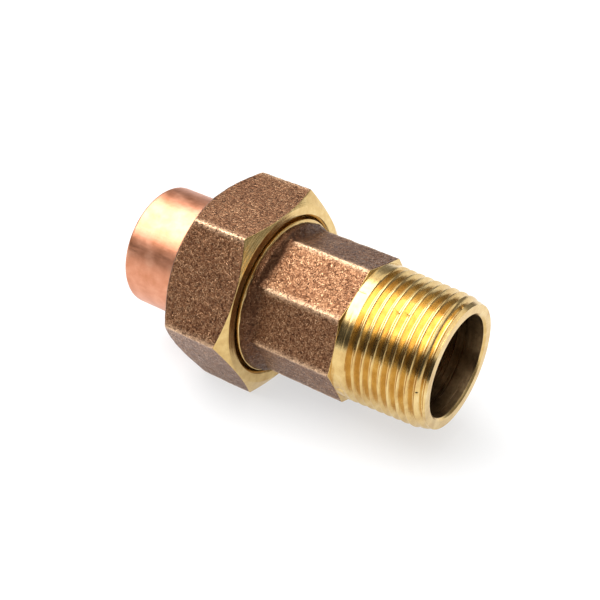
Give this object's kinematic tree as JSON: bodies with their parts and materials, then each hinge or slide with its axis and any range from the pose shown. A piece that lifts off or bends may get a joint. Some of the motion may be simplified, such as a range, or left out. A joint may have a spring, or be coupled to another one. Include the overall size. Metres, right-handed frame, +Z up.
{
  "type": "pipe union",
  "caption": "Ground joint pipe union: octagonal male pipe thread end, hexagonal union nut and a copper solder cup tailpiece on one axis.",
  "frame": {"origin": "centre of the bounding box, on the union's axis, half way along its 69.5 mm length", "axes": "+X along the axis towards the male pipe thread, +Z up through the middle of a flat of the nut, as it lies with the axis level"},
  "size_m": [0.0694, 0.0426, 0.037],
  "materials": {
    "cast_bronze": "sand cast bronze, with bright machined faces and threads",
    "copper": "satin wrought copper"
  },
  "bodies": {
    "male_end": {"male_end": "cast_bronze"},
    "tailpiece": {"copper_tailpiece": "copper"},
    "nut": {"union_nut": "cast_bronze"}
  },
  "joints": [
    {"name": "tailpiece_draw", "type": "slide", "parent": "male_end", "child": "tailpiece", "axis": [-1, 0, 0], "range_m": [0, 0.0072]},
    {"name": "nut_turn", "type": "hinge", "parent": "tailpiece", "child": "nut", "pos_m": [-0.01205, 0, 0], "axis": [-1, 0, 0], "range_deg": [0, 1428.5]}
  ],
  "couplings": [
    {"joint": "tailpiece_draw", "follows": "nut_turn", "m_per_rad": 0.00028875}
  ]
}
